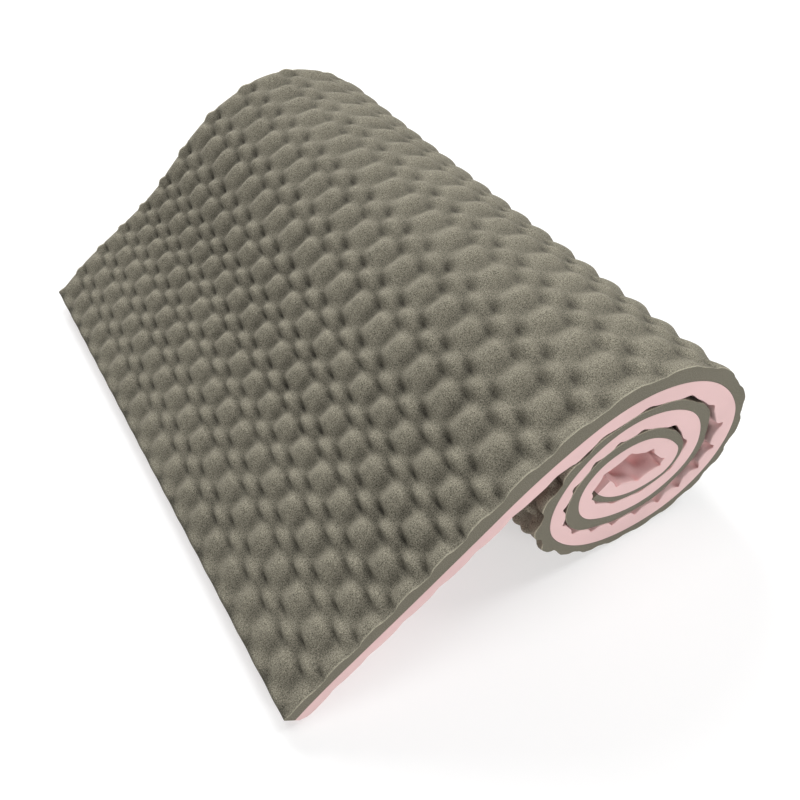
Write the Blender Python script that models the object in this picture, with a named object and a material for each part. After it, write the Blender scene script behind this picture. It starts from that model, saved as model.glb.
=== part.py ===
"""Foam mattress topper, partly rolled up.

Two layers of convoluted foam, a grey one and a pink one, are glued face to face and lie in one
sheet. Its tail slopes up from the surface, goes over the top of a roll of two and a half turns
and ends inside it. The grey side is outermost. Both free faces have the staggered bumps of
convoluted foam, which run out into straight ribs where the turns hide them.
"""

import math

import bmesh
import bpy
import numpy as np

# Driving dimensions, in metres. X runs from the tail's end to the roll, Y across the topper.
WIDTH = 0.800
BUMP_PITCH_ACROSS = 0.0431
GLUE_GAP = 0.0004
TURN_GAP = 0.0004  # the pink layer keeps this far from the next turn's crowns
PRESSED_BELOW = 0.006  # foam less than this above the surface is pressed flat onto it

# How high the glue line starts at the tail's end, and how steeply it rises there.
TOE_HEIGHT = 0.0115
TOE_RISE_DEG = 42.0

# The glue line as arcs, in the order in which it is wound. Each row is one bend.
#   run    length of the bend along the glue line, in mm
#   turn   how far it turns, in degrees (negative is clockwise, seen from the near end)
#   pitch  length of one pair of bumps along the glue line, in mm
#   grey   thickness of the grey layer at its crowns, in mm, and pink of the pink layer
#   grey_dip, pink_dip   depth of the pits below the crowns, in mm
COLUMNS = ("run", "turn", "pitch", "grey", "pink", "grey_dip", "pink_dip")
WINDING = {
    "toe": (72, -7, 49, 17, 16, 8, 3),
    "ramp": (221, 2, 49, 24, 17, 13, 4),
    "tail": (117, -14, 62, 29, 22, 13, 4),
    "shoulder": (86, -29, 66, 25, 24, 10, 4),
    "crown": (99, -29, 78, 21, 24, 7, 5),
    "brow": (77, -22, 74, 17, 26, 6, 8),
    "drop": (68, -40, 57, 16, 30, 9, 15),
    "right": (68, -42, 40, 20, 28, 15, 15),
    "right_foot": (63, -31, 39, 18, 28, 13, 14),
    "belly": (99, -29, 44, 15, 30, 4, 11),
    "left_foot": (99, -36, 43, 16, 26, 10, 7),
    "left": (72, -51, 38, 23, 19, 16, 6),
    "nape": (72, -41, 39, 18, 21, 13, 7),
    "second_top": (68, -40, 39, 11, 22, 3, 6),
    "second_brow": (77, -30, 73, 13, 21, 3, 5),
    "second_right": (77, -46, 73, 16, 22, 6, 6),
    "second_foot": (54, -58, 64, 13, 24, 5, 5),
    "second_belly": (72, -45, 62, 13, 24, 5, 3),
    "second_left": (68, -25, 55, 14, 22, 3, 3),
    "second_nape": (59, -54, 42, 18, 19, 2, 3),
    "third_top": (63, -74, 40, 15, 20, 2, 4),
    "third_brow": (68, -47, 50, 15, 18, 2, 7),
    "third_right": (59, -26, 50, 12, 22, 2, 7),
    "core": (54, -113, 45, 6, 24, 1, 3),
    "tongue": (112, -64, 45, 8, 19, 2, 6),
}
# The last bends whose free face has bumps. After them it has straight ribs.
LAST_BUMPED = {"grey": "left", "pink": "tail"}

# The pattern repeats with one wide and one narrow bump along the run. Each row is the place of a
# column of points in the pitch and how high it is between a pit at -1 and a crown at 1. Half a
# pitch further across the topper the heights are the other way round.
WIDE_AND_NARROW = {
    "before wide": (0.06, 0.0),
    "wide bump": (0.45, 1.0),
    "before narrow": (0.70, 0.0),
    "narrow bump": (0.87, -0.93),
}
ROWS_PER_BUMP = 2
FIRST_PHASE = -0.08  # place of the tail's end in the pattern, in pitches
NEAR_EDGE_TO_CROWNS = 0.08  # from the near cut edge to the first wide crowns, in pitches
SHORTEST_COLUMN = 0.004

# The search for the next turn starts this far along, and tries a point of it at every step.
NEXT_TURN_AFTER = 0.15
SEARCH_STEP = 0.002

FLAT_AREA_ANGLE = math.radians(0.1)

FOAMS = {
    "grey": {"object": "grey_layer", "colour": (0.200, 0.185, 0.148, 1.0), "roughness": 0.92},
    "pink": {"object": "pink_layer", "colour": (0.78, 0.50, 0.44, 1.0), "roughness": 0.90},
}


def clear_scene():
    for obj in list(bpy.data.objects):
        bpy.data.objects.remove(obj, do_unlink=True)


def winding_column(name):
    """One column of the winding table."""
    index = COLUMNS.index(name)
    return np.array([row[index] for row in WINDING.values()], dtype=float)


def bend_ends():
    """Distance along the glue line at which each bend ends, in metres."""
    return np.cumsum(winding_column("run")) / 1000.0


def glue_line(distance):
    """Point (x, z) and heading of the glue line at a distance from the tail's end, at x 0."""
    x, z, heading, left = 0.0, TOE_HEIGHT, math.radians(TOE_RISE_DEG), distance
    for run_mm, turn_deg, *_ in WINDING.values():
        run = run_mm / 1000.0
        part = min(left / run, 1.0)
        turned = math.radians(turn_deg) * part
        half = turned / 2.0
        chord = run * part * (math.sin(half) / half if half else 1.0)
        x += chord * math.cos(heading + half)
        z += chord * math.sin(heading + half)
        heading += turned
        left -= run * part
        if left <= 0.0:
            break
    return x, z, heading


def table_value(name, distance):
    """A thickness or depth of the table in metres, blended from bend to bend."""
    ends = bend_ends()
    middles = ends - winding_column("run") / 2000.0
    return float(np.interp(distance, middles, winding_column(name))) / 1000.0


def pattern_columns():
    """Each column of points as its distance along the glue line and its height in the pattern."""
    ends = np.concatenate([[0.0], bend_ends()])
    phases = FIRST_PHASE + np.concatenate(
        [[0.0], np.cumsum(winding_column("run") / winding_column("pitch"))])
    columns = [(0.0, 0.0)]
    for pair in range(int(phases[-1]) + 1):
        for place, height in WIDE_AND_NARROW.values():
            distance = float(np.interp(pair + place, phases, ends))
            if SHORTEST_COLUMN < distance < ends[-1] - SHORTEST_COLUMN:
                columns.append((distance, height))
    return [*columns, (float(ends[-1]), 0.0)]


def row_places():
    """Rows of points across the topper as pitches after the first wide crowns."""
    last = WIDTH / BUMP_PITCH_ACROSS - NEAR_EDGE_TO_CROWNS
    inner = [row / ROWS_PER_BUMP for row in range(int(last * ROWS_PER_BUMP))]
    return [-NEAR_EDGE_TO_CROWNS, *inner, last]


def pattern_height(column_height, row_place):
    """Height in the pattern, from -1 in a pit to 1 on a crown."""
    return column_height * math.cos(2.0 * math.pi * row_place)


def room_inside(distance):
    """How thick the pink layer may be at a distance, where the next turn lies inside it."""
    x, z, heading = glue_line(distance)
    room = math.inf
    for later in np.arange(distance + NEXT_TURN_AFTER, bend_ends()[-1], SEARCH_STEP):
        next_x, next_z, _ = glue_line(later)
        along = (next_x - x) * math.cos(heading) + (next_z - z) * math.sin(heading)
        inward = (next_x - x) * math.sin(heading) - (next_z - z) * math.cos(heading)
        if abs(along) < SEARCH_STEP and inward > 0.0:
            room = min(room, inward - table_value("grey", later) - GLUE_GAP - TURN_GAP)
    return room


def section_point(distance, offset):
    """Point (x, z) at an offset from the glue line, flat on the surface where it is pressed."""
    x, z, heading = glue_line(distance)
    z += math.cos(heading) * offset
    return x - math.sin(heading) * offset, z if z > PRESSED_BELOW else 0.0


def foam_layer(colour, side):
    """Points and faces of one layer. side is 1 outside the glue line and -1 inside it."""
    columns = pattern_columns()
    rows = row_places()
    bumped_to = bend_ends()[list(WINDING).index(LAST_BUMPED[colour])]
    points = []
    for distance, column_height in columns:
        crown = table_value(colour, distance)
        if side < 0:
            crown = min(crown, room_inside(distance))
        dip = table_value(colour + "_dip", distance)
        base = section_point(distance, side * GLUE_GAP / 2.0)
        for row in rows:
            height = pattern_height(column_height, row if distance < bumped_to else rows[0])
            thickness = crown - dip * (1.0 - height) / 2.0
            free = section_point(distance, side * (GLUE_GAP / 2.0 + thickness))
            across = (row + NEAR_EDGE_TO_CROWNS) * BUMP_PITCH_ACROSS - WIDTH / 2.0
            points.append((base[0], across, base[1]))
            points.append((free[0], across, free[1]))
    return points, sheet_faces(len(columns), len(rows))


def sheet_faces(columns, rows):
    """Quads round a closed sheet whose points go by column, row, then base and free face."""

    def at(column, row, face):
        return (column * rows + row) * 2 + face

    faces = []
    for column in range(columns - 1):
        for row in range(rows - 1):
            faces.append([at(column + i, row + j, 0) for i, j in ((0, 0), (1, 0), (1, 1), (0, 1))])
            faces.append([at(column + i, row + j, 1) for i, j in ((0, 0), (0, 1), (1, 1), (1, 0))])
        for row in (0, rows - 1):
            faces.append([at(column, row, 0), at(column + 1, row, 0),
                          at(column + 1, row, 1), at(column, row, 1)])
    for row in range(rows - 1):
        for column in (0, columns - 1):
            faces.append([at(column, row, 0), at(column, row, 1),
                          at(column, row + 1, 1), at(column, row + 1, 0)])
    return faces


def foam_material(colour):
    material = bpy.data.materials.new(colour + "_foam")
    material.use_nodes = True
    shader = material.node_tree.nodes["Principled BSDF"]
    shader.inputs["Base Color"].default_value = FOAMS[colour]["colour"]
    shader.inputs["Roughness"].default_value = FOAMS[colour]["roughness"]
    shader.inputs["Metallic"].default_value = 0.0
    return material


def middle_of(*point_lists):
    """X of the middle of all the points' box."""
    xs = [point[0] for points in point_lists for point in points]
    return (min(xs) + max(xs)) / 2.0


def build_layer(colour, points, faces, middle, collection):
    """One foam layer as an object, its flat areas merged into single faces."""
    points = [(x - middle, y, z) for x, y, z in points]
    mesh = bpy.data.meshes.new(FOAMS[colour]["object"])
    mesh.from_pydata(points, [], faces)
    obj = bpy.data.objects.new(FOAMS[colour]["object"], mesh)
    collection.objects.link(obj)
    mesh.materials.append(foam_material(colour))
    make_outward(mesh)
    merge = obj.modifiers.new("merge_flat_areas", "DECIMATE")
    merge.decimate_type = "DISSOLVE"
    merge.angle_limit = FLAT_AREA_ANGLE
    return obj


def make_outward(mesh):
    """Turns every face of a closed mesh outwards."""
    form = bmesh.new()
    form.from_mesh(mesh)
    bmesh.ops.recalc_face_normals(form, faces=form.faces)
    form.to_mesh(mesh)
    form.free()


def main():
    clear_scene()
    collection = bpy.data.collections.new("mattress_topper")
    bpy.context.scene.collection.children.link(collection)
    grey_points, faces = foam_layer("grey", 1)
    pink_points, _ = foam_layer("pink", -1)
    middle = middle_of(grey_points, pink_points)
    build_layer("grey", grey_points, faces, middle, collection)
    build_layer("pink", pink_points, faces, middle, collection)


main()
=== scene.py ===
"""Looks of a rolled foam mattress topper: two glued layers of bumped foam and their finishes."""

from __future__ import annotations

import logging
import math
from dataclasses import dataclass, field
from enum import Enum
from typing import Any

import bmesh
import bpy
import numpy as np
from mathutils import Matrix, Vector

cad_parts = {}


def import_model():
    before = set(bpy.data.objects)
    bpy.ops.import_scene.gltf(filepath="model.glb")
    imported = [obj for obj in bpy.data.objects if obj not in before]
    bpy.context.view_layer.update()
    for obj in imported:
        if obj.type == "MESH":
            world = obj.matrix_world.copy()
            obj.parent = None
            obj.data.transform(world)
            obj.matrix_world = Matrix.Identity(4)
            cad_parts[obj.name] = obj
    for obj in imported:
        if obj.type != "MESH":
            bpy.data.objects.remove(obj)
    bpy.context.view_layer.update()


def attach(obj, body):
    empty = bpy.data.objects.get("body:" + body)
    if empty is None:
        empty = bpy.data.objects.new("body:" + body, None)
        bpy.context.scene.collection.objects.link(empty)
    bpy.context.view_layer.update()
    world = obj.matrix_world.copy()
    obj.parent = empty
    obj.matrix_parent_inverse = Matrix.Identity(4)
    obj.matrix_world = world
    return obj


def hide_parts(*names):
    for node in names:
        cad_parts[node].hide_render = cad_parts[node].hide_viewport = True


LOG = logging.getLogger("mattress_topper")
MM = 0.001
TURN = 2.0 * math.pi  # one turn in radians
WELD = 1e-6  # points nearer to each other than this become one

# Names of the values that the mesh hands to the finish.
# Painted shade in the pits: 1 where there is none and 0 at the bottom of a slit.
PIT_SHADE_FREE = "pit_shade_free"
# Painted highlight along the bumped face's cut edges.
CUT_EDGE_HIGHLIGHT = "cut_edge_highlight"
CUT = "cut_face"

HIGHLIGHT_BAND_WIDTH = 2.0 * MM  # how far the painted highlight along the bumped face's cut edges reaches
CALM_WIDTH = 13.0 * MM  # how far from a cut face the bumps are lower
CALM_DEPTH = 0.35  # the depth that they are drawn to there, from 0 on a crown to 1 in a pit
DEEPEST = 1.4  # depth at the bottom of a slit, where the painted pit shade is darkest


class Side(Enum):
    """Which side of the glue line a layer is on."""

    OUTSIDE = 1
    INSIDE = -1


@dataclass(frozen=True)
class Bend:
    """One arc of the glue line, with what the two layers measure there, in mm and degrees."""

    name: str
    run: float
    turn: float
    pitch: float
    grey: float
    pink: float
    grey_dip: float
    pink_dip: float


WINDING = (
    Bend("toe", 72, -7, 49, 17, 16, 8, 3),
    Bend("ramp", 221, 2, 49, 24, 17, 13, 4),
    Bend("tail", 117, -14, 62, 29, 22, 13, 4),
    Bend("shoulder", 86, -29, 66, 25, 24, 10, 4),
    Bend("crown", 99, -29, 78, 21, 24, 7, 5),
    Bend("brow", 77, -22, 74, 17, 26, 6, 8),
    Bend("drop", 68, -40, 57, 16, 30, 9, 15),
    Bend("right", 68, -42, 40, 20, 28, 15, 15),
    Bend("right_foot", 63, -31, 39, 18, 28, 10, 14),
    Bend("belly", 99, -29, 44, 15, 30, 6, 11),
    Bend("left_foot", 99, -36, 43, 16, 26, 10, 7),
    Bend("left", 72, -51, 38, 23, 19, 16, 6),
    Bend("nape", 72, -41, 39, 18, 21, 13, 7),
    Bend("second_top", 68, -40, 39, 11, 22, 3, 6),
    Bend("second_brow", 77, -30, 73, 13, 21, 3, 5),
    Bend("second_right", 77, -46, 73, 16, 22, 6, 6),
    Bend("second_foot", 54, -58, 64, 13, 24, 5, 5),
    Bend("second_belly", 72, -45, 62, 13, 24, 5, 3),
    Bend("second_left", 68, -25, 55, 14, 22, 3, 3),
    Bend("second_nape", 59, -54, 42, 18, 19, 2, 3),
    Bend("third_top", 63, -74, 40, 15, 20, 2, 4),
    Bend("third_brow", 68, -47, 50, 15, 18, 2, 7),
    Bend("third_right", 59, -26, 50, 12, 22, 2, 7),
    Bend("core", 54, -113, 45, 6, 24, 1, 3),
    Bend("tongue", 112, -64, 45, 8, 19, 2, 6),
)


@dataclass
class GlueLine:
    """The wound line along which the two layers are glued, seen from the near cut edge.

    The first phase is the tail's end's place in the pattern of bumps. The turn inside a point is
    looked for on the line further along than next_turn_after and at least least_room away.
    """

    toe_height: float = 11.5 * MM
    toe_rise_deg: float = 42.0
    first_phase: float = -0.08
    step: float = 0.5 * MM
    next_turn_after: float = 0.15
    least_room: float = 3 * MM
    bends: tuple[Bend, ...] = WINDING
    distances: np.ndarray = field(init=False)
    points: np.ndarray = field(init=False)
    headings: np.ndarray = field(init=False)

    def __post_init__(self) -> None:
        """Walks the bends once, at a fine step."""
        ends = np.cumsum([bend.run * MM for bend in self.bends])
        count = int(round(ends[-1] / self.step))
        self.distances = np.linspace(0.0, ends[-1], count + 1)
        middles = (self.distances[1:] + self.distances[:-1]) / 2.0
        rates = np.array([math.radians(bend.turn) / (bend.run * MM) for bend in self.bends])
        step = self.distances[1]
        bend_of = np.minimum(np.searchsorted(ends, middles), len(self.bends) - 1)
        turned = np.concatenate([[0.0], np.cumsum(rates[bend_of] * step)])
        self.headings = math.radians(self.toe_rise_deg) + turned
        half = (self.headings[1:] + self.headings[:-1]) / 2.0
        x = np.concatenate([[0.0], np.cumsum(np.cos(half) * step)])
        z = np.concatenate([[0.0], np.cumsum(np.sin(half) * step)]) + self.toe_height
        self.points = np.stack([x, z], axis=1)

    @property
    def length(self) -> float:
        """Length of the whole glue line."""
        return float(self.distances[-1])

    def end_of(self, name: str) -> float:
        """Finds where a bend ends.

        Args:
            name: The bend's name.

        Returns:
            Its end's distance along the glue line.
        """
        names = [bend.name for bend in self.bends]
        return sum(bend.run for bend in self.bends[: names.index(name) + 1]) * MM

    def value(self, column: str, at: np.ndarray) -> np.ndarray:
        """Reads a column of the bends in metres, blended from bend to bend.

        Args:
            column: Name of a field of Bend.
            at: Distances along the glue line.

        Returns:
            The column's value at each distance.
        """
        ends = np.cumsum([bend.run for bend in self.bends]) * MM
        middles = ends - np.array([bend.run for bend in self.bends]) * MM / 2.0
        return np.interp(at, middles, [getattr(bend, column) * MM for bend in self.bends])

    def phase(self, at: np.ndarray) -> np.ndarray:
        """Counts the pairs of bumps, wide and narrow.

        Args:
            at: Distances along the glue line.

        Returns:
            How many pairs lie between the tail's end and each distance.
        """
        ends = np.cumsum([0.0] + [bend.run for bend in self.bends]) * MM
        pairs = np.cumsum([self.first_phase] + [bend.run / bend.pitch for bend in self.bends])
        return np.interp(at, ends, pairs)

    def place(self, at: np.ndarray) -> tuple[np.ndarray, np.ndarray]:
        """Finds points on the glue line and its normals towards the outside of the roll.

        Args:
            at: Distances along the glue line.

        Returns:
            Points (x, z) and unit normals (x, z).
        """
        x, z = (np.interp(at, self.distances, self.points[:, i]) for i in (0, 1))
        heading = np.interp(at, self.distances, self.headings)
        return np.stack([x, z], axis=1), np.stack([-np.sin(heading), np.cos(heading)], axis=1)

    def room_inside(self, at: np.ndarray) -> tuple[np.ndarray, np.ndarray]:
        """Measures how far the next turn's glue line lies inwards of each distance.

        Args:
            at: Distances along the glue line.

        Returns:
            The distance inwards to the next turn, or infinity, and where along the line it is.
        """
        points, normals = self.place(at)
        room = np.full(len(at), np.inf)
        there = np.zeros(len(at))
        for i, (start, point, normal) in enumerate(zip(at, points, normals)):
            later = self.distances > start + self.next_turn_after
            offset = self.points[later] - point
            inward = -(offset @ normal)
            sideways = np.abs(offset @ np.array([normal[1], -normal[0]]))
            near = (sideways < 2 * self.step) & (inward > self.least_room)
            if near.any():
                nearest = int(np.argmin(np.where(near, inward, np.inf)))
                room[i] = inward[nearest]
                there[i] = self.distances[later][nearest]
        return room, there


class Wire:
    """A socket that takes part in Python expressions. Each operator adds one Math node."""

    def __init__(self, plan: "NodePlan", socket: bpy.types.NodeSocket) -> None:
        """Keeps the plan that new nodes go in and the socket itself."""
        self.plan = plan
        self.socket = socket

    def _math(self, operation: str, *values: Any) -> "Wire":
        """Adds a Math node.

        Args:
            operation: The node's operation.
            values: What its inputs take, in order.

        Returns:
            The node's result.
        """
        made = self.plan.node("ShaderNodeMath", {"operation": operation}, dict(enumerate(values)))
        return Wire(self.plan, made.outputs[0])

    def __add__(self, other: Any) -> "Wire":
        """self + other."""
        return self._math("ADD", self, other)

    __radd__ = __add__

    def __sub__(self, other: Any) -> "Wire":
        """self - other."""
        return self._math("SUBTRACT", self, other)

    def __rsub__(self, other: Any) -> "Wire":
        """other - self."""
        return self._math("SUBTRACT", other, self)

    def __mul__(self, other: Any) -> "Wire":
        """self * other."""
        return self._math("MULTIPLY", self, other)

    __rmul__ = __mul__

    def __truediv__(self, other: Any) -> "Wire":
        """self / other."""
        return self._math("DIVIDE", self, other)

    def __pow__(self, other: Any) -> "Wire":
        """self ** other."""
        return self._math("POWER", self, other)

    def __lt__(self, other: Any) -> "Wire":
        """1 where self is less than other."""
        return self._math("LESS_THAN", self, other)

    def __gt__(self, other: Any) -> "Wire":
        """1 where self is greater than other."""
        return self._math("GREATER_THAN", self, other)

    def floor(self) -> "Wire":
        """Whole part."""
        return self._math("FLOOR", self)

    def sine(self) -> "Wire":
        """Sine of an angle in radians."""
        return self._math("SINE", self)

    def cosine(self) -> "Wire":
        """Cosine of an angle in radians."""
        return self._math("COSINE", self)

    def exponential(self) -> "Wire":
        """e raised to self."""
        return self._math("EXPONENT", self)

    def size(self) -> "Wire":
        """Value without its sign."""
        return self._math("ABSOLUTE", self)

    def at_least(self, other: Any) -> "Wire":
        """The larger of self and other."""
        return self._math("MAXIMUM", self, other)

    def at_most(self, other: Any) -> "Wire":
        """The smaller of self and other."""
        return self._math("MINIMUM", self, other)


class NodePlan:
    """A node tree that is written down in Python."""

    def __init__(self, tree: bpy.types.NodeTree) -> None:
        """Keeps the tree."""
        self.tree = tree

    def node(
        self,
        kind: str,
        settings: dict[str, Any] | None = None,
        inputs: dict[str | int, Any] | None = None,
    ) -> bpy.types.Node:
        """Adds a node of any type.

        Args:
            kind: The node's type.
            settings: Its properties, set first.
            inputs: Values or wires for its sockets, by name or number.

        Returns:
            The new node.
        """
        made = self.tree.nodes.new(kind)
        for name, value in (settings or {}).items():
            setattr(made, name, value)
        for key, value in (inputs or {}).items():
            socket = made.inputs[key]
            if isinstance(value, Wire):
                value = value.socket
            if isinstance(value, bpy.types.NodeSocket):
                self.tree.links.new(value, socket)
            else:
                socket.default_value = value
        return made

    def wire(self, node: bpy.types.Node, output: str | int = 0) -> Wire:
        """Wraps one output of a node.

        Args:
            node: The node.
            output: The output's name or number.

        Returns:
            The output, ready for expressions.
        """
        return Wire(self, node.outputs[output])

    def combined(self, x: Any, y: Any, z: Any) -> bpy.types.NodeSocket:
        """Combines three numbers or wires into a vector.

        Args:
            x: The first part.
            y: The second part.
            z: The third part.

        Returns:
            The vector's socket.
        """
        return self.node("ShaderNodeCombineXYZ", None, {"X": x, "Y": y, "Z": z}).outputs[0]


@dataclass(frozen=True)
class FoamFinish:
    """Matte open-cell foam: its colour, its cells and the painted shade that darkens its pits.

    The grain is how much the cells vary the tone, the cloud how much it drifts from place to
    place and the spark how much lighter the scattered flecks are. A painted highlight lightens
    the bumped face along its cut edges. On a cut face the grain is smoothed and painted shade
    darkens the tone.
    """

    name: str
    slot: str
    colour: tuple[float, float, float]
    grain: float
    pit_painted_shade: tuple[float, float, float]
    cut_face_painted_shade: float
    cell_scale: float = 900.0
    cell_depth: float = 0.5 * MM
    cloud_scale: float = 9.0
    cloud: float = 0.22
    fleck_scale: float = 300.0
    fleck_size: float = 0.11
    spark: float = 0.3
    painted_edge_highlight: float = 0.0
    cut_smoothing: float = 0.5
    roughness: float = 0.95
    specular: float = 0.1

    def material(self) -> bpy.types.Material:
        """Builds the finish.

        Returns:
            A material whose cells follow the foam in three dimensions, as on a cut face too.
        """
        material = bpy.data.materials.new(self.name)
        material.use_nodes = True
        plan = NodePlan(material.node_tree)
        shader = material.node_tree.nodes["Principled BSDF"]
        place = plan.node("ShaderNodeTexCoord").outputs["Object"]
        cells = plan.wire(plan.node(
            "ShaderNodeTexNoise", None,
            {"Vector": place, "Scale": self.cell_scale, "Detail": 2.0, "Roughness": 0.75},
        ), "Fac")
        cloud = plan.wire(plan.node(
            "ShaderNodeTexNoise", None,
            {"Vector": place, "Scale": self.cloud_scale, "Detail": 3.0},
        ), "Fac")
        flecks = plan.node(
            "ShaderNodeTexVoronoi", {"feature": "F1"},
            {"Vector": place, "Scale": self.fleck_scale},
        )
        pit_shade_free, painted_edge_highlight, cut = (
            plan.wire(plan.node("ShaderNodeAttribute", {"attribute_name": name}), "Fac")
            for name in (PIT_SHADE_FREE, CUT_EDGE_HIGHLIGHT, CUT)
        )
        spark = plan.wire(flecks, "Distance") < self.fleck_size
        grain = (cells - 0.5) * self.grain * (1.0 - cut * self.cut_smoothing)
        # A painted highlight lightens the tone along the bumped face's cut edges.
        tone = grain + (cloud - 0.5) * self.cloud + spark * self.spark + painted_edge_highlight * self.painted_edge_highlight + 1.0
        # Painted shade: the cut faces are darkened.
        tone = tone * (1.0 - cut * self.cut_face_painted_shade)
        # Painted shade: the colour darkens towards the pit colour in pits and slits, reddened on
        # the pink foam.
        body = self._mix(plan, "MIX", pit_shade_free, self.pit_painted_shade, (1.0, 1.0, 1.0))
        body = self._mix(plan, "MULTIPLY", None, body, self.colour)
        body = self._mix(plan, "MULTIPLY", None, body, plan.combined(tone, tone, tone))
        plan.tree.links.new(body, shader.inputs["Base Color"])
        shader.inputs["Roughness"].default_value = self.roughness
        shader.inputs["Specular IOR Level"].default_value = self.specular
        bump = plan.node(
            "ShaderNodeBump", None,
            {"Strength": 1.0, "Distance": self.cell_depth, "Height": cells},
        )
        plan.tree.links.new(bump.outputs["Normal"], shader.inputs["Normal"])
        return material

    @staticmethod
    def _mix(
        plan: NodePlan, blend: str, share: Wire | None, first: Any, second: Any
    ) -> bpy.types.NodeSocket:
        """Mixes or multiplies two colours.

        Args:
            plan: The tree being written.
            blend: How they are blended.
            share: How much of the second one is taken, or None for all of the blend.
            first: A colour or a socket.
            second: Another one.

        Returns:
            The blended colour.
        """
        made = plan.node("ShaderNodeMix", {"data_type": "RGBA", "blend_type": blend})
        if share is None:
            made.inputs["Factor"].default_value = 1.0
        else:
            plan.tree.links.new(share.socket, made.inputs["Factor"])
        for name, value in (("A", first), ("B", second)):
            socket = next(s for s in made.inputs if s.name == name and s.type == "RGBA")
            if isinstance(value, bpy.types.NodeSocket):
                plan.tree.links.new(value, socket)
            else:
                socket.default_value = (*value, 1.0)
        return next(s for s in made.outputs if s.type == "RGBA")


# In both finishes the pit colour is painted shade in the pits, the cut-face value painted shade on
# the cut faces and the grey's edge value a painted highlight along its cut edges.
GREY_FOAM = FoamFinish(
    name="grey_foam", slot="grey_foam", colour=(0.222, 0.206, 0.160), grain=4.0,
    pit_painted_shade=(0.12, 0.12, 0.13), painted_edge_highlight=1.3, cut_face_painted_shade=0.22,
)
PINK_FOAM = FoamFinish(
    name="pink_foam", slot="pink_foam", colour=(0.86, 0.60, 0.59), grain=0.25,
    pit_painted_shade=(1.0, 0.60, 0.59), spark=0.0, cut_face_painted_shade=0.12,
)


@dataclass(frozen=True)
class Wave:
    """One wave of the bumps' profile along the run, so many times in each pair of bumps."""

    times: int
    cosine: float
    sine: float


WIDE_AND_NARROW = (
    Wave(0, 0.249, 0.000),
    Wave(1, -0.748, 0.602),
    Wave(2, 0.048, 0.247),
    Wave(3, 0.010, -0.014),
)


@dataclass(frozen=True)
class Slit:
    """A narrow deep pit beside each bump. Places and spreads are in pitches, along and across."""

    along: float
    across: float
    along_spread: float = 0.06
    across_spread: float = 0.19

    def depth(self, u: Wire, v: Wire) -> Wire:
        """Measures how deep in the slit each point is.

        Args:
            u: Place along the run, in pairs of bumps.
            v: Place across the topper, in pitches.

        Returns:
            0 far from the slit and 1 at its middle.
        """
        return (
            self._share(u, self.along, self.along_spread)
            * self._share(v, self.across, self.across_spread)
        )

    @staticmethod
    def _share(place: Wire, middle: float, spread: float) -> Wire:
        """Falls from 1 at the middle, and comes back once in every pitch.

        Args:
            place: Where the point is, in pitches.
            middle: Where the slit is.
            spread: How wide it is.

        Returns:
            How near the point is to the middle, from 0 to 1.
        """
        near = ((place - middle) * TURN).cosine() - 1.0
        return (near * (1.0 / (TURN * spread) ** 2)).exponential()


SLITS = (Slit(along=0.03, across=0.12), Slit(along=0.70, across=0.60))


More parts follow.
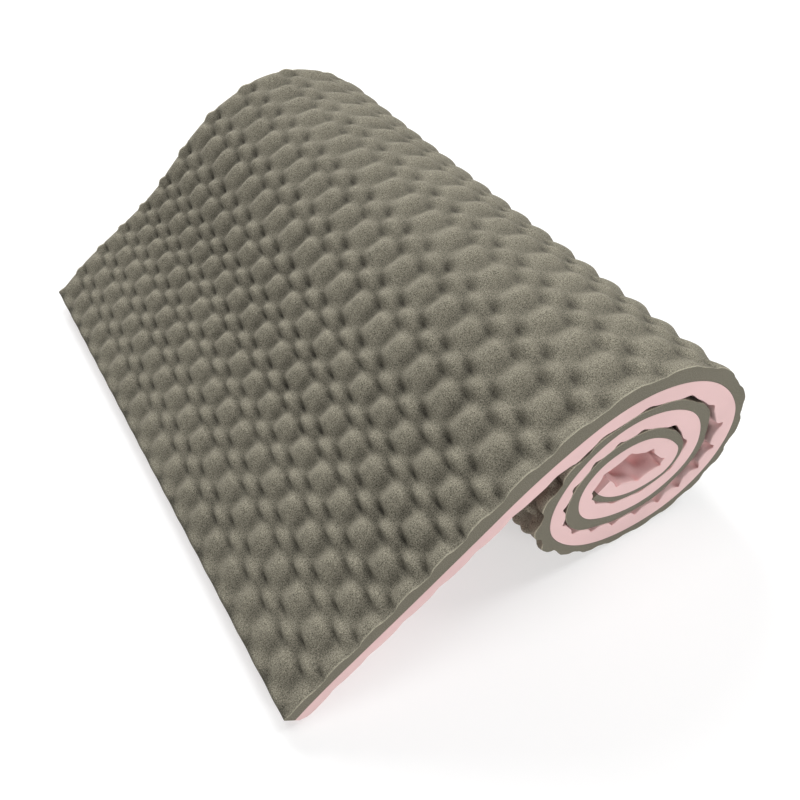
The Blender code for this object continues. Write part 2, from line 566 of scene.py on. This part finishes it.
@dataclass
class BumpedLayer:
    """One layer of the topper, from its glued face to its bumped face.

    The bumps are waves with a pitch along the run and one across, and slits cut into them. Their
    depths are shares of the bend's dip. The far end of the roll is swollen and the slope sags
    there, both growing with the square of the distance from the near cut edge.
    """

    name: str
    node: str
    side: Side
    colour: str
    finish: FoamFinish
    line: GlueLine
    width: float = 0.800
    middle_x: float = 0.29468
    pitch_across: float = 43.4 * MM
    near_edge_to_crowns: float = 0.08
    waves: tuple[Wave, ...] = WIDE_AND_NARROW
    slits: tuple[Slit, ...] = SLITS
    slit_depth: float = 0.62
    pit_fullness: float = 0.80
    edge_calm: float = 0.5
    far_swell: float = 0.060
    far_sag: float = 17 * MM
    sag_middle: float = 0.21
    sag_reach: float = 0.10
    pit_narrowing: float = 1.0
    unevenness: float = 0.14
    end_fade: float = 12 * MM
    end_depth: float = 0.15
    end_rounding: float = 0.0
    end_radius: float = 15 * MM
    glue_gap: float = 0.4 * MM
    fine_columns: int = 12
    coarse_columns: int = 6
    rows_per_pitch: int = 12
    fine_until: str = "nape"
    press_reach: float = 6 * MM
    clearance: float = 0.5 * MM

    def column_distances(self) -> np.ndarray:
        """Spreads the columns along the glue line, closer together where the layer shows.

        Returns:
            The columns' distances along the line.
        """
        change = self.line.end_of(self.fine_until)
        end = self.line.length
        stations = np.array([0.0, change, end])
        pairs = self.line.phase(stations)
        fine = int(round((pairs[1] - pairs[0]) * self.fine_columns))
        coarse = int(round((pairs[2] - pairs[1]) * self.coarse_columns))
        return np.concatenate([
            np.linspace(0.0, change, fine + 1), np.linspace(change, end, coarse + 1)[1:]
        ])

    def crowns(self, at: np.ndarray) -> np.ndarray:
        """Measures the thickness at the crowns.

        Args:
            at: Distances along the glue line.

        Returns:
            The thickness. The inner layer is thinner or thicker where the next turn presses it.
        """
        own = self.line.value(self.colour, at)
        if self.side is Side.INSIDE:
            room, there = self.line.room_inside(at)
            free = room - self.line.value("grey", there) - self.clearance - self.glue_gap
            spare = np.minimum(free - own, self.press_reach)
            # Gaps up to half the reach close, and wider ones up to the whole reach narrow.
            pressed = np.clip(2.0 - 2.0 * spare / self.press_reach, 0.0, 1.0)
            own = own + np.where(spare < 0.0, spare, spare * pressed)
        short = np.clip(1.0 - at / self.end_radius, 0.0, 1.0)
        return own * (1.0 - self.end_rounding * (1.0 - np.sqrt(1.0 - short**2)))

    def guide(self) -> bpy.types.Object:
        """Draws a line of points, one for each column of the sheet.

        Returns:
            An object whose attributes hold what the columns measure.
        """
        at = self.column_distances()
        points, normals = self.line.place(at)
        mesh = bpy.data.meshes.new(self.name)
        mesh.from_pydata([(x, 0.0, z) for x, z in points], [], [])
        to_end = np.minimum(at, self.line.length - at)
        fade = np.clip(to_end / self.end_fade, self.end_depth, 1.0)
        columns = {
            "place_x": points[:, 0] - self.middle_x,
            "place_z": points[:, 1],
            "out_x": normals[:, 0] * self.side.value,
            "out_z": normals[:, 1] * self.side.value,
            "crown": self.crowns(at),
            "dip": self.line.value(self.colour + "_dip", at) * fade,
            "phase": self.line.phase(at),
            "sag": self.far_sag * np.exp(-(((at - self.sag_middle) / self.sag_reach) ** 2)),
        }
        for name, values in columns.items():
            attribute = mesh.attributes.new(name, "FLOAT", "POINT")
            attribute.data.foreach_set("value", values.astype(np.float32))
        guide = bpy.data.objects.new(self.name, mesh)
        bpy.context.scene.collection.objects.link(guide)
        return guide

    def build(self) -> bpy.types.Object:
        """Builds the layer as one closed mesh.

        Returns:
            The dressed piece, riding on the part and standing for its solid.
        """
        piece = self.guide()
        tree = BumpedSheetTree(self).build()
        modifier = piece.modifiers.new("bumped_sheet", "NODES")
        modifier.node_group = tree
        settings = {
            "Width": self.width,
            "Rows": int(round(self.width / self.pitch_across * self.rows_per_pitch)) + 2,
            "Pitch Across": self.pitch_across, "Near Edge To Crowns": self.near_edge_to_crowns,
            **{f"Cosine {wave.times}": wave.cosine for wave in self.waves},
            **{f"Sine {wave.times}": wave.sine for wave in self.waves},
            "Slit Depth": self.slit_depth, "Pit Fullness": self.pit_fullness,
            "Edge Calm": self.edge_calm, "Far Swell": self.far_swell,
            "Pit Narrowing": self.pit_narrowing, "Unevenness": self.unevenness,
            "Half Gap": self.glue_gap / 2, "Finish": self.finish.material(),
        }
        for socket in tree.interface.items_tree:
            if socket.name in settings:
                modifier[socket.identifier] = settings[socket.name]
        bpy.context.view_layer.update()
        graph = bpy.context.evaluated_depsgraph_get()
        mesh = bpy.data.meshes.new_from_object(piece.evaluated_get(graph))
        piece.modifiers.remove(modifier)
        piece.data = mesh
        mesh.name = self.name
        self._close(mesh)
        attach(piece, "root")
        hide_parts(self.node)
        LOG.info("%s: %d faces", self.name, len(mesh.polygons))
        return piece

    @staticmethod
    def _close(mesh: bpy.types.Mesh) -> None:
        """Closes the two cut ends and turns the faces outwards.

        Args:
            mesh: The sheet, changed in place.
        """
        form = bmesh.new()
        form.from_mesh(mesh)
        bmesh.ops.remove_doubles(form, verts=form.verts, dist=WELD)
        before = set(form.faces)
        bmesh.ops.holes_fill(form, edges=[e for e in form.edges if e.is_boundary], sides=0)
        for face in set(form.faces) - before:
            face.smooth = False
        bmesh.ops.recalc_face_normals(form, faces=form.faces)
        form.to_mesh(mesh)
        form.free()


@dataclass
class BumpedSheetTree:
    """Geometry nodes that spread a guide's columns across the topper and raise the bumps.

    The noise seat picks the pattern of the unevenness. The three wanders are how far it moves
    a bump along the run and across it, in pitches, and how much it changes its depth.
    """

    layer: BumpedLayer
    noise_seat: float = 3.7
    wander_along: float = 0.3
    wander_across: float = 0.25
    wander_depth: float = 2.0

    def build(self) -> bpy.types.NodeTree:
        """Writes the tree.

        Returns:
            A tree whose inputs are the sizes of the bumps.
        """
        tree = bpy.data.node_groups.new(self.layer.name + "_sheet", "GeometryNodeTree")
        tree.is_modifier = True
        sockets = (
            ("Guide", "NodeSocketGeometry"), ("Width", "NodeSocketFloat"),
            ("Rows", "NodeSocketInt"), ("Pitch Across", "NodeSocketFloat"),
            ("Near Edge To Crowns", "NodeSocketFloat"), ("Pit Narrowing", "NodeSocketFloat"),
            ("Slit Depth", "NodeSocketFloat"), ("Pit Fullness", "NodeSocketFloat"),
            ("Edge Calm", "NodeSocketFloat"), ("Far Swell", "NodeSocketFloat"),
            *((f"Cosine {wave.times}", "NodeSocketFloat") for wave in self.layer.waves),
            *((f"Sine {wave.times}", "NodeSocketFloat") for wave in self.layer.waves),
            ("Unevenness", "NodeSocketFloat"), ("Half Gap", "NodeSocketFloat"),
            ("Finish", "NodeSocketMaterial"),
        )
        for name, kind in sockets:
            tree.interface.new_socket(name, in_out="INPUT", socket_type=kind)
        tree.interface.new_socket("Sheet", in_out="OUTPUT", socket_type="NodeSocketGeometry")
        plan = NodePlan(tree)
        given = plan.node("NodeGroupInput")
        count = plan.node("GeometryNodeAttributeDomainSize", {"component": "MESH"},
                          {"Geometry": given.outputs["Guide"]})
        columns = plan.wire(count, "Point Count")
        width = plan.wire(given, "Width")
        bumped_glued_and_cut = (
            (plan.wire(given, "Rows"), None, 1.0, True),
            (2, None, 0.0, False),
            (2, width * -0.5, None, False),
            (2, width * 0.5, None, False),
        )
        faces = [self._face(plan, given, columns, *face) for face in bumped_glued_and_cut]
        joined = plan.node("GeometryNodeJoinGeometry")
        for face in reversed(faces):
            tree.links.new(face, joined.inputs[0])
        welded = plan.node("GeometryNodeMergeByDistance", None,
                           {"Geometry": joined.outputs[0], "Distance": WELD})
        real = plan.node("GeometryNodeRealizeInstances", None, {"Geometry": welded.outputs[0]})
        done = plan.node("GeometryNodeSetMaterial", None,
                         {"Geometry": real.outputs[0], "Material": given.outputs["Finish"]})
        plan.node("NodeGroupOutput", None, {0: done.outputs[0]})
        return tree

    def _face(
        self, plan: NodePlan, given: bpy.types.Node, columns: Wire, rows: Wire | int,
        across: Wire | None, height: float | None, smooth: bool,
    ) -> bpy.types.NodeSocket:
        """Lays one face of the sheet as a grid of columns and rows.

        Args:
            plan: The tree being written.
            given: Its input node.
            columns: How many columns the guide has.
            rows: How many rows the face has.
            across: The face's place across the topper, or None where its rows spread over it.
            height: 0 at the glued face and 1 at the bumped one, or None where its rows rise.
            smooth: Whether the face is shaded smooth.

        Returns:
            The face's geometry.
        """
        grid = plan.node("GeometryNodeMeshGrid", None, {"Vertices X": columns, "Vertices Y": rows})
        index = plan.wire(plan.node("GeometryNodeInputIndex"))
        column = ((index + 0.5) / rows).floor()
        row = index - column * rows
        width = plan.wire(given, "Width")
        if across is None and isinstance(rows, Wire):
            across = self._rows_across(rows, row, width)
        place_y = width * (row - 0.5) if across is None else across
        level = row if height is None else height
        columns_of = {
            name: self._sampled(plan, given, name, column)
            for name in ("place_x", "place_z", "out_x", "out_z", "crown", "dip", "phase", "sag")
        }
        pit = self._pit(plan, given, columns_of["phase"], place_y)
        thickness = columns_of["crown"] - columns_of["dip"] * pit
        out = plan.wire(given, "Half Gap") + thickness * level
        x = columns_of["place_x"] + columns_of["out_x"] * out
        share = place_y / width + 0.5
        lift = share * share
        z = columns_of["place_z"] + columns_of["out_z"] * out
        z = z * (lift * plan.wire(given, "Far Swell") + 1.0) - columns_of["sag"] * lift
        position = plan.combined(x, place_y, z.at_least(0.0))
        placed = plan.node("GeometryNodeSetPosition", None,
                           {"Geometry": grid.outputs["Mesh"], "Position": position})
        bumped = float(height == 1.0)
        to_edge = (width * 0.5 - place_y.size()) / HIGHLIGHT_BAND_WIDTH
        measured = self._stored(plan, placed.outputs[0], {
            # Painted shade in the pits, darkest in the slits and none on the cut faces.
            PIT_SHADE_FREE: 1.0 - (pit / DEEPEST) ** 2.0 * bumped,
            # Painted highlight along the bumped face's cut edges.
            CUT_EDGE_HIGHLIGHT: (1.0 - to_edge).at_least(0.0) * bumped,
            CUT: 1.0 - bumped,
        })
        shaded = plan.node("GeometryNodeSetShadeSmooth", None,
                           {"Geometry": measured, "Shade Smooth": smooth})
        return shaded.outputs[0]

    @staticmethod
    def _rows_across(rows: Wire, row: Wire, width: Wire) -> Wire:
        """Spreads the rows over the width, with a narrow one along each cut edge.

        Args:
            rows: How many rows there are.
            row: The number of each point's row.
            width: The topper's width.

        Returns:
            Each row's place across the topper.
        """
        spread = width * 0.5 - HIGHLIGHT_BAND_WIDTH
        inner = spread * ((row - 1.0) / (rows - 3.0) * 2.0 - 1.0)
        across = inner.at_least(width * -0.5 + (row * HIGHLIGHT_BAND_WIDTH).at_most(HIGHLIGHT_BAND_WIDTH))
        across = across * (row > 0.5) - width * 0.5 * (row < 0.5)
        last = row > rows - 1.5
        return across * (1.0 - last) + width * 0.5 * last

    @staticmethod
    def _stored(
        plan: NodePlan, geometry: bpy.types.NodeSocket, measures: dict[str, Wire | float]
    ) -> bpy.types.NodeSocket:
        """Stores measures of the points on the faces' corners.

        Welding the faces mixes what their points hold, but not what their corners hold.

        Args:
            plan: The tree being written.
            geometry: The geometry that gets them.
            measures: Each one's name and value.

        Returns:
            The geometry with the measures.
        """
        for name, value in measures.items():
            of_point = plan.node(
                "GeometryNodeFieldOnDomain", {"data_type": "FLOAT", "domain": "POINT"}, {0: value}
            )
            geometry = plan.node(
                "GeometryNodeStoreNamedAttribute", {"data_type": "FLOAT", "domain": "CORNER"},
                {"Geometry": geometry, "Name": name, "Value": of_point.outputs[0]},
            ).outputs[0]
        return geometry

    @staticmethod
    def _sampled(plan: NodePlan, given: bpy.types.Node, name: str, column: Wire) -> Wire:
        """Reads one of the guide's measures at a column.

        Args:
            plan: The tree being written.
            given: Its input node.
            name: The measure's name.
            column: The number of each point's column.

        Returns:
            The measure at each point.
        """
        of_guide = plan.node(
            "GeometryNodeInputNamedAttribute", {"data_type": "FLOAT"}, {"Name": name}
        ).outputs["Attribute"]
        sampled = plan.node(
            "GeometryNodeSampleIndex", {"data_type": "FLOAT", "domain": "POINT"},
            {"Geometry": given.outputs["Guide"], "Value": of_guide, "Index": column},
        )
        return plan.wire(sampled, "Value")

    def _pit(
        self, plan: NodePlan, given: bpy.types.Node, u: Wire, place_y: Wire
    ) -> Wire:
        """Measures how deep each point lies.

        Args:
            plan: The tree being written.
            given: Its input node.
            u: Place along the run, in pairs of bumps.
            place_y: Place across the topper.

        Returns:
            0 on a crown, 1 at the bottom of a pit and up to DEEPEST in a slit.
        """
        half_width = plan.wire(given, "Width") * 0.5
        v = (place_y + half_width) / plan.wire(given, "Pitch Across")
        v = v - plan.wire(given, "Near Edge To Crowns")
        noise = plan.node(
            "ShaderNodeTexNoise", None,
            {"Vector": plan.combined(u, v, self.noise_seat), "Scale": 0.9, "Detail": 1.0},
        )
        wander = (plan.wire(noise, "Fac") - 0.5) * plan.wire(given, "Unevenness")
        u = u + wander * self.wander_along
        v = v + wander * self.wander_across
        turn = u * TURN
        profile = sum(
            (turn * wave.times).cosine() * plan.wire(given, f"Cosine {wave.times}")
            + (turn * wave.times).sine() * plan.wire(given, f"Sine {wave.times}")
            for wave in self.layer.waves
        )
        wave = profile * (v * TURN).cosine() * -0.5
        wave = wave.at_most(wave * plan.wire(given, "Pit Fullness"))
        slits = sum(slit.depth(u, v) for slit in self.layer.slits)
        pit = (wave + 0.5).at_least(0.0) ** plan.wire(given, "Pit Narrowing")
        pit = (pit + slits * plan.wire(given, "Slit Depth")) * (wander * self.wander_depth + 1.0)
        to_edge = (half_width - place_y.size()) / CALM_WIDTH
        calm = (1.0 - to_edge).at_least(0.0) * plan.wire(given, "Edge Calm")
        return pit + (CALM_DEPTH - pit) * calm


@dataclass(frozen=True)
class Lamp:
    """A large soft lamp that is aimed at the topper.

    The heading goes counterclockwise from +X, and the irradiance is the light that reaches the
    topper's middle, in watts per square metre.
    """

    name: str
    heading_deg: float
    height_deg: float
    distance: float
    irradiance: float


LAMPS = (
    Lamp("far", 90.0, 27.0, 5.0, 1.8),
    Lamp("high", 75.0, 50.0, 4.0, 1.4),
    Lamp("top", 180.0, 75.0, 3.0, 0.7),
    Lamp("right", -20.0, 50.0, 3.0, 1.1),
    Lamp("front", -90.0, 25.0, 3.0, 1.0),
)


@dataclass
class Studio:
    """White floor, soft light from all round and the camera."""

    camera_at: tuple[float, float, float] = (-0.4026, -0.7267, 0.7775)
    camera_yaw_deg: float = -33.66
    camera_pitch_deg: float = 44.12
    camera_roll_deg: float = 2.16
    focal_px: float = 784.0
    frame_px: float = 800.0
    sensor_mm: float = 36.0
    sees_from: float = 0.05
    sees_to: float = 60.0
    lamp_width_deg: float = 20.0
    lamps: tuple[Lamp, ...] = LAMPS
    lamp_target: tuple[float, float, float] = (0.0, 0.0, 0.12)
    world_light: float = 0.25
    floor_tone: float = 0.5
    floor_glow: float = 0.5
    floor_roughness: float = 0.9
    floor_specular: float = 0.1
    floor_reach: float = 30.0
    floor_drop: float = 0.5 * MM

    def camera(self) -> bpy.types.Object:
        """Places the camera at the photograph's angle.

        Returns:
            The scene's camera.
        """
        data = bpy.data.cameras.new("camera")
        data.sensor_width = self.sensor_mm
        data.lens = self.focal_px / self.frame_px * self.sensor_mm
        data.clip_start = self.sees_from
        data.clip_end = self.sees_to
        camera = bpy.data.objects.new("camera", data)
        turn = (
            Matrix.Rotation(math.radians(self.camera_yaw_deg), 4, "Z")
            @ Matrix.Rotation(math.radians(90.0 - self.camera_pitch_deg), 4, "X")
            @ Matrix.Rotation(math.radians(self.camera_roll_deg), 4, "Z")
        )
        camera.matrix_world = Matrix.Translation(self.camera_at) @ turn
        bpy.context.scene.collection.objects.link(camera)
        bpy.context.scene.camera = camera
        return camera

    def floor(self) -> bpy.types.Object:
        """Lays a plain white floor, which glows a little so that it stays white.

        Returns:
            The floor, which isn't part of the topper.
        """
        mesh = bpy.data.meshes.new("floor")
        form = bmesh.new()
        bmesh.ops.create_grid(form, x_segments=2, y_segments=2, size=self.floor_reach)
        form.to_mesh(mesh)
        form.free()
        floor = bpy.data.objects.new("floor", mesh)
        floor.location.z = -self.floor_drop
        material = bpy.data.materials.new("floor_white")
        material.use_nodes = True
        shader = material.node_tree.nodes["Principled BSDF"]
        shader.inputs["Base Color"].default_value = (*[self.floor_tone] * 3, 1.0)
        shader.inputs["Emission Color"].default_value = (1.0, 1.0, 1.0, 1.0)
        shader.inputs["Emission Strength"].default_value = self.floor_glow
        shader.inputs["Roughness"].default_value = self.floor_roughness
        shader.inputs["Specular IOR Level"].default_value = self.floor_specular
        mesh.materials.append(material)
        bpy.context.scene.collection.objects.link(floor)
        return floor

    def world(self) -> None:
        """Surrounds the topper with even white light."""
        world = bpy.data.worlds.new("studio")
        world.use_nodes = True
        background = world.node_tree.nodes["Background"]
        background.inputs["Color"].default_value = (1.0, 1.0, 1.0, 1.0)
        background.inputs["Strength"].default_value = self.world_light
        bpy.context.scene.world = world

    def light(self, lamp: Lamp) -> bpy.types.Object:
        """Sets up one lamp.

        Args:
            lamp: What it is like and where it stands.

        Returns:
            The lamp's object.
        """
        data = bpy.data.lights.new(lamp.name, "AREA")
        data.shape = "DISK"
        data.size = 2.0 * lamp.distance * math.tan(math.radians(self.lamp_width_deg / 2.0))
        data.energy = lamp.irradiance * math.pi * lamp.distance**2
        light = bpy.data.objects.new(lamp.name, data)
        heading, height = math.radians(lamp.heading_deg), math.radians(lamp.height_deg)
        towards = Vector((
            math.cos(height) * math.cos(heading), math.cos(height) * math.sin(heading),
            math.sin(height),
        ))
        light.location = Vector(self.lamp_target) + towards * lamp.distance
        light.rotation_euler = towards.to_track_quat("Z", "Y").to_euler()
        bpy.context.scene.collection.objects.link(light)
        return light

    def build(self) -> None:
        """Sets up everything round the topper."""
        self.camera()
        self.floor()
        self.world()
        for lamp in self.lamps:
            self.light(lamp)


def main() -> None:
    """Builds the topper and the studio round it."""
    logging.basicConfig(level=logging.INFO, format="%(name)s: %(message)s")
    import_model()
    bpy.context.scene.view_settings.view_transform = "Standard"
    line = GlueLine()
    layers = (
        BumpedLayer("grey_bumped_foam", "grey_layer", Side.OUTSIDE, "grey", GREY_FOAM, line),
        BumpedLayer("pink_bumped_foam", "pink_layer", Side.INSIDE, "pink", PINK_FOAM, line,
                    fine_columns=9, coarse_columns=9, rows_per_pitch=9, pit_narrowing=1.8,
                    pit_fullness=1.0, slit_depth=0.0, edge_calm=0.0, end_rounding=0.55),
    )
    for layer in layers:
        layer.build()
    Studio().build()


if __name__ == "__main__":
    main()
